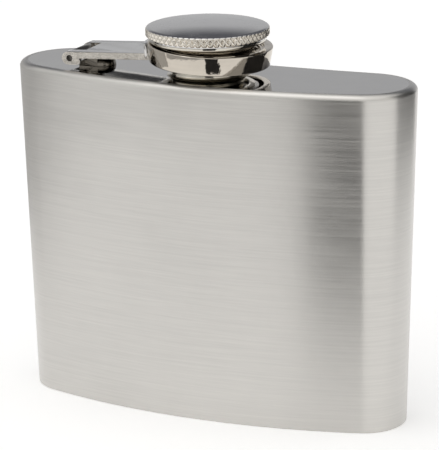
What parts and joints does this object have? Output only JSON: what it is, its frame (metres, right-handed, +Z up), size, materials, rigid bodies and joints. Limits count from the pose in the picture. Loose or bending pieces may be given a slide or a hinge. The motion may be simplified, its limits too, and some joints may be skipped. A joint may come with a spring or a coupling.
{
  "type": "hip flask",
  "caption": "Curved pocket flask with a brushed tapered body, mirror top plate, threaded neck and a knurled screw cap held by a hinged arm.",
  "frame": {"origin": "on the base's flat underside, straight below the neck's axis", "axes": "+X along the width, away from the hinge; -Y towards the bulging front; +Z up along the neck"},
  "size_m": [0.095, 0.0291, 0.0891],
  "materials": {
    "brushed_body": "horizontally brushed stainless steel",
    "mirror_plate": "mirror polished stainless steel",
    "brushed_base": "brushed stainless steel",
    "neck_steel": "turned and threaded stainless steel",
    "polished_steel": "polished stainless steel",
    "pin_steel": "plain steel pin, dull ends",
    "arm_steel": "polished face with rough sheared edges",
    "collar_nickel": "warm bright nickel",
    "clip_steel": "spring steel",
    "sleeve_steel": "polished turned steel",
    "cap_steel": "polished dome with a bead-blasted diamond-knurled rim",
    "gasket_rubber": "matt food-safe silicone"
  },
  "bodies": {
    "flask": {"body_wall": "brushed_body", "top_plate": "mirror_plate", "base_plate": "brushed_base", "neck": "neck_steel", "hinge_bracket": "polished_steel", "hinge_pin": "pin_steel"},
    "arm": {"arm": "arm_steel", "collar": "collar_nickel"},
    "clip": {"retaining_clip": "clip_steel"},
    "cap": {"cap_head": "cap_steel", "cap_sleeve": "sleeve_steel", "gasket": "gasket_rubber"}
  },
  "joints": [
    {"name": "arm_swing", "type": "hinge", "parent": "flask", "child": "arm", "pos_m": [-0.0312, 0, 0.0798], "axis": [0, -1, 0], "range_deg": [0, 178]},
    {"name": "cap_lift", "type": "slide", "parent": "arm", "child": "clip", "axis": [0, 0, 1], "range_m": [0, 0.00136]},
    {"name": "cap_turn", "type": "hinge", "parent": "clip", "child": "cap", "pos_m": [0, 0, 0.0873], "axis": [0, 0, 1], "range_deg": [0, 270]}
  ],
  "couplings": [
    {"joint": "cap_lift", "follows": "cap_turn", "m_per_rad": 0.00028648}
  ]
}
